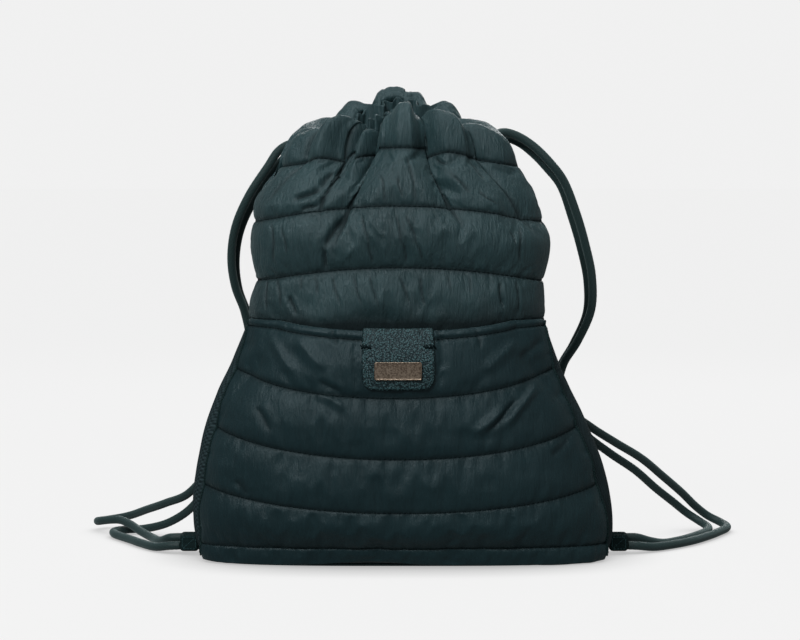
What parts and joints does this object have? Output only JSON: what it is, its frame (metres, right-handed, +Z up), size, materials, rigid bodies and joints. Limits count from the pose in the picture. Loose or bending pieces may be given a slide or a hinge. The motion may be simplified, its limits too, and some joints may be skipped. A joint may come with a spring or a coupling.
{
  "type": "quilted drawstring backpack",
  "caption": "Padded drawstring backpack with a gathered neck, quilted front pocket, knitted side gussets, leather tab with a bare plate and round carrying cords.",
  "frame": {"origin": "middle of the bag's footprint on the floor, the cords left out", "axes": "+Z up through the gathered neck, -Y towards the pocket side, +X to the right as seen from the front"},
  "size_m": [0.6017, 0.2684, 0.4114],
  "materials": {
    "quilt": "satin padded cloth",
    "knit": "matt ribbed knit",
    "lining": "matt woven",
    "leather": "pebbled, low sheen",
    "plate": "brushed, dark edges",
    "cord": "matt braided"
  },
  "bodies": {
    "root": {"base_panel": "knit", "front_wall": "lining", "front_pocket": "quilt", "gusset_left": "knit", "gusset_right": "knit", "lower_back_panel": "knit", "upper_front_panel": "quilt", "upper_back_panel": "quilt", "drawstring_collar": "quilt", "leather_tab": "leather", "name_plate": "plate", "cord_anchor_left": "knit", "cord_anchor_right": "knit", "cord_left_outer": "cord", "cord_left_inner": "cord", "cord_right_outer": "cord", "cord_right_inner": "cord"}
  },
  "joints": []
}
